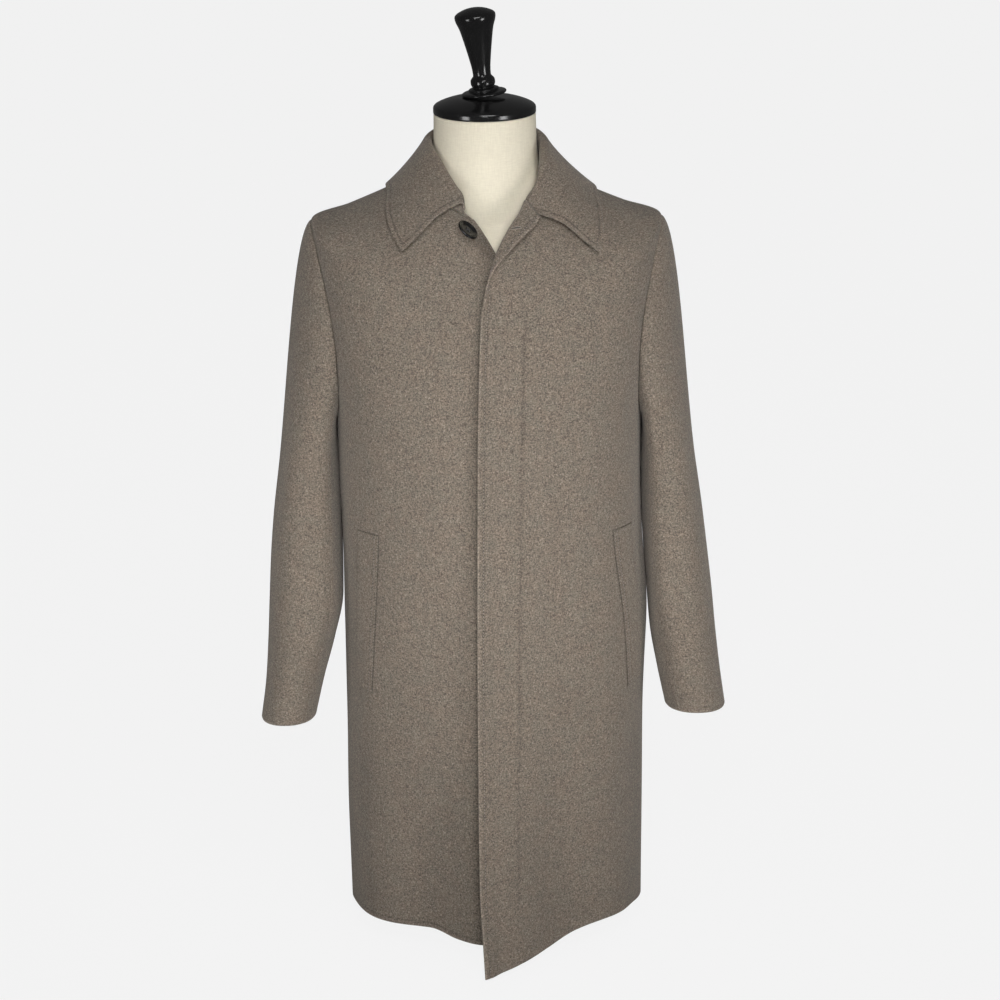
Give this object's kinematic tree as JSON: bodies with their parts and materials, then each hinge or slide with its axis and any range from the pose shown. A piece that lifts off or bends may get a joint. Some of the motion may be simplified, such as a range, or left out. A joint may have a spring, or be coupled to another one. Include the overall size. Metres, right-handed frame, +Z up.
{
  "type": "cashmere coat on a limbless dress form",
  "caption": "Knee-length fly-front coat with a spread collar, set-in sleeves and slanted welt pockets, worn by a limbless dress form with a turned finial.",
  "frame": {"origin": "centre of the base's underside, on the floor", "axes": "+Z up through the pole, -Y the way the coat's front faces, +X the wearer's left"},
  "size_m": [0.594, 0.3323, 1.2079],
  "materials": {
    "coat_cloth": "napped melange cashmere",
    "button": "polished horn",
    "form_linen": "plain linen",
    "black_lacquer": "gloss lacquer on wood",
    "stand_metal": "dark painted"
  },
  "bodies": {
    "root": {"front_right": "coat_cloth", "front_left": "coat_cloth", "back": "coat_cloth", "sleeve_upper_left": "coat_cloth", "sleeve_under_left": "coat_cloth", "sleeve_upper_right": "coat_cloth", "sleeve_under_right": "coat_cloth", "collar": "coat_cloth", "pocket_welt_left": "coat_cloth", "pocket_welt_right": "coat_cloth", "top_button": "button", "form_torso": "form_linen", "neck_cap": "black_lacquer", "finial": "black_lacquer", "pole": "stand_metal", "base": "stand_metal"}
  },
  "joints": []
}
